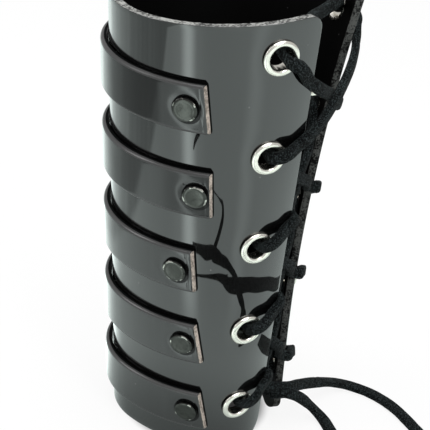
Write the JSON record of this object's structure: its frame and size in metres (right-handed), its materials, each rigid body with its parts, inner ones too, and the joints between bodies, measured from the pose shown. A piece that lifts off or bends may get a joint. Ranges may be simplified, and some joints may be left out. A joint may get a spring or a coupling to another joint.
{
  "type": "forearm guard",
  "caption": "Laced forearm guard: a tapered wrap of patent leather with riveted cross bands, rolled eyelets down both flaps and a crossing leather lace.",
  "frame": {"origin": "middle of the footprint of the guard without its free lace ends, on the plane of the wrist rim it stands on", "axes": "+Z from wrist to elbow, -Y the closed front with the bands, +Y the laced gap, +X the flap nearer the camera"},
  "size_m": [0.1022, 0.1871, 0.1948],
  "materials": {
    "sheet_leather": "glossy patent, black",
    "band_leather": "glossy patent, black",
    "gunmetal": "polished dark plating",
    "nickel": "polished nickel plating",
    "lace": "matt suede, black"
  },
  "bodies": {
    "root": {"shell": "sheet_leather", "strap_1": "band_leather", "strap_2": "band_leather", "strap_3": "band_leather", "strap_4": "band_leather", "strap_5": "band_leather", "rivet_cap_right_1": "gunmetal", "rivet_cap_right_2": "gunmetal", "rivet_cap_right_3": "gunmetal", "rivet_cap_right_4": "gunmetal", "rivet_cap_right_5": "gunmetal", "rivet_cap_left_1": "gunmetal", "rivet_cap_left_2": "gunmetal", "rivet_cap_left_3": "gunmetal", "rivet_cap_left_4": "gunmetal", "rivet_cap_left_5": "gunmetal", "rivet_post_right_1": "gunmetal", "rivet_post_right_2": "gunmetal", "rivet_post_right_3": "gunmetal", "rivet_post_right_4": "gunmetal", "rivet_post_right_5": "gunmetal", "rivet_post_left_1": "gunmetal", "rivet_post_left_2": "gunmetal", "rivet_post_left_3": "gunmetal", "rivet_post_left_4": "gunmetal", "rivet_post_left_5": "gunmetal", "eyelet_right_1": "nickel", "eyelet_right_2": "nickel", "eyelet_right_3": "nickel", "eyelet_right_4": "nickel", "eyelet_right_5": "nickel", "eyelet_left_1": "nickel", "eyelet_left_2": "nickel", "eyelet_left_3": "nickel", "eyelet_left_4": "nickel", "eyelet_left_5": "nickel", "lacing": "lace", "lace_tail_right": "lace", "lace_tail_left": "lace", "lace_coil_right": "lace", "lace_coil_left": "lace", "coil_tie_right": "lace", "coil_tie_left": "lace"}
  },
  "joints": []
}
